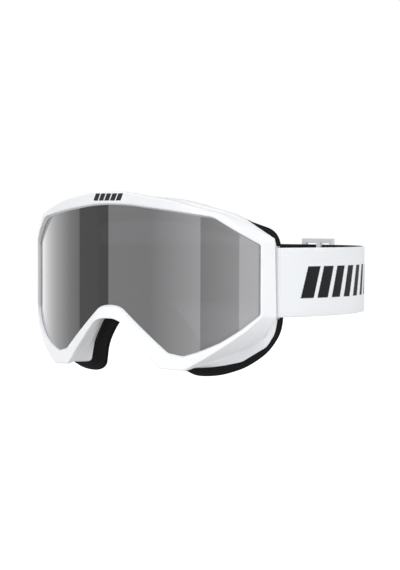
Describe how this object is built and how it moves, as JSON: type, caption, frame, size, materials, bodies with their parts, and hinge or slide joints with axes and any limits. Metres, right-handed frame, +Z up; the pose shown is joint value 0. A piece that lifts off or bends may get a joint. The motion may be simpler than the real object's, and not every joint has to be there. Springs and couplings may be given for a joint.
{
  "type": "sport goggles",
  "caption": "Sport goggles: moulded frame with a cylindrical mirror lens, layered face foam and an elastic strap with a sliding adjuster.",
  "frame": {"origin": "where the wearer's brow meets the face foam, in the goggles' middle plane, a little above the nose", "axes": "+X to the right seen from in front, +Y from the lens to the back of the head, +Z up"},
  "size_m": [0.2012, 0.2042, 0.108],
  "materials": {
    "frame_plastic": "satin-gloss white moulded TPU",
    "lens_mirror": "neutral silver mirror on polycarbonate",
    "gasket_foam": "dark closed-cell foam",
    "lens_clear": "clear acetate",
    "face_foam": "black open-cell foam",
    "fleece": "black brushed fleece",
    "mark_print": "black pad print",
    "bar_steel": "drawn wire",
    "strap_elastic": "woven elastic, white outside and black inside",
    "thread": "polyester sewing thread",
    "adjuster_plastic": "light grey moulded acetal"
  },
  "bodies": {
    "frame": {"frame_shell": "frame_plastic", "outer_lens": "lens_mirror", "lens_gasket": "gasket_foam", "inner_lens": "lens_clear", "face_foam": "face_foam", "face_fleece": "fleece", "brow_vent_foam": "gasket_foam", "brow_mark": "mark_print", "strap_bar_left": "bar_steel", "strap_bar_right": "bar_steel", "strap_end_left": "strap_elastic", "strap_end_right": "strap_elastic", "end_stitching_left": "thread", "end_stitching_right": "thread", "strap_side_left": "strap_elastic", "strap_side_right": "strap_elastic"},
    "strap_back": {"strap_back_left": "strap_elastic", "strap_back_right": "strap_elastic", "strap_link_left": "strap_elastic", "strap_link_right": "strap_elastic"},
    "adjuster": {"adjuster_slider": "adjuster_plastic", "adjuster_loop": "strap_elastic", "adjuster_stitching": "thread", "strap_weave": "strap_elastic", "strap_tail": "strap_elastic", "tail_stitching": "thread"}
  },
  "joints": [
    {"name": "strap_stretch", "type": "slide", "parent": "frame", "child": "strap_back", "axis": [0, 1, 0], "range_m": [0, 0.05], "stiffness_N_per_m": 500, "deforming": ["strap_side_left", "strap_side_right"]},
    {"name": "adjuster_slide", "type": "hinge", "parent": "strap_back", "child": "adjuster", "pos_m": [0, 0.06, 0.0017], "axis": [0, 0, 1], "range_deg": [-20, 20], "deforming": ["strap_link_left", "strap_link_right"]}
  ]
}
